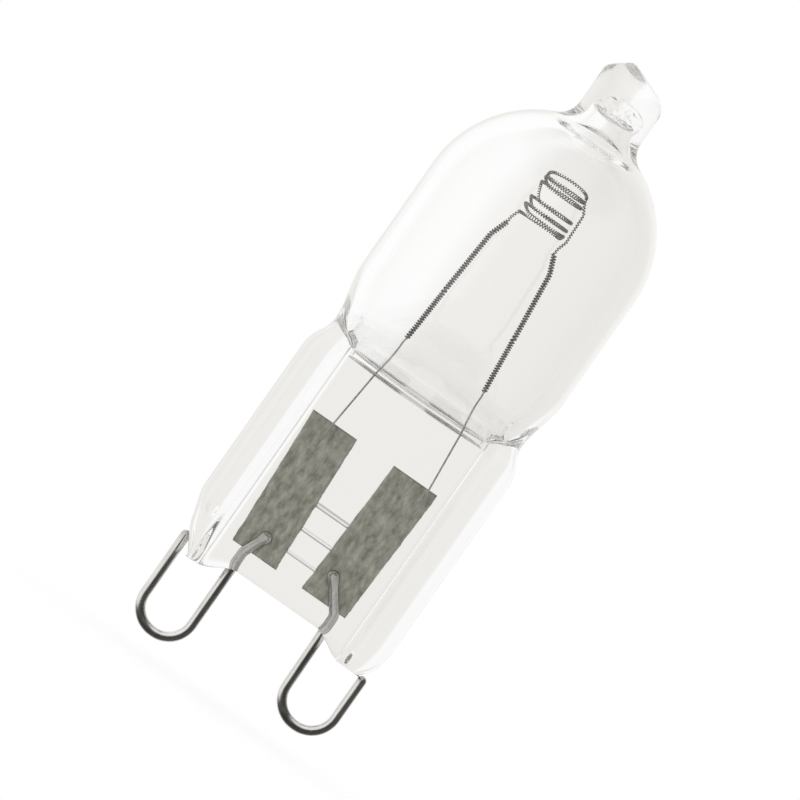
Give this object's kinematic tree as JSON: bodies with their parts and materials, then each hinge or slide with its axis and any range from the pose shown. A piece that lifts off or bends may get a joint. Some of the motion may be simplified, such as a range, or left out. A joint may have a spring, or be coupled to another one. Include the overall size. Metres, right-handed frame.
{
  "type": "halogen capsule bulb",
  "caption": "Clear quartz capsule lamp with a domed tube, a sealed exhaust tip, a flat pinched base and two looped wire contact pins.",
  "frame": {"origin": "middle of the pinch's lower end, half way through its thickness, where the looped pins leave the glass", "axes": "+Z along the lamp's axis from the pins to the exhaust tip, +X across the flat pinch, +Y through its thickness, away from the side the pins are welded on"},
  "size_m": [0.0136, 0.013, 0.0395],
  "materials": {
    "quartz": "clear fused quartz, glossy",
    "foil": "mottled molybdenum foil",
    "pin": "drawn nickel-plated wire",
    "tungsten": "dull grey tungsten wire"
  },
  "bodies": {
    "root": {"quartz_envelope": "quartz", "left_foil": "foil", "right_foil": "foil", "left_pin": "pin", "right_pin": "pin", "left_lead": "tungsten", "right_lead": "tungsten", "left_leg_coil": "tungsten", "right_leg_coil": "tungsten", "filament": "tungsten"}
  },
  "joints": []
}
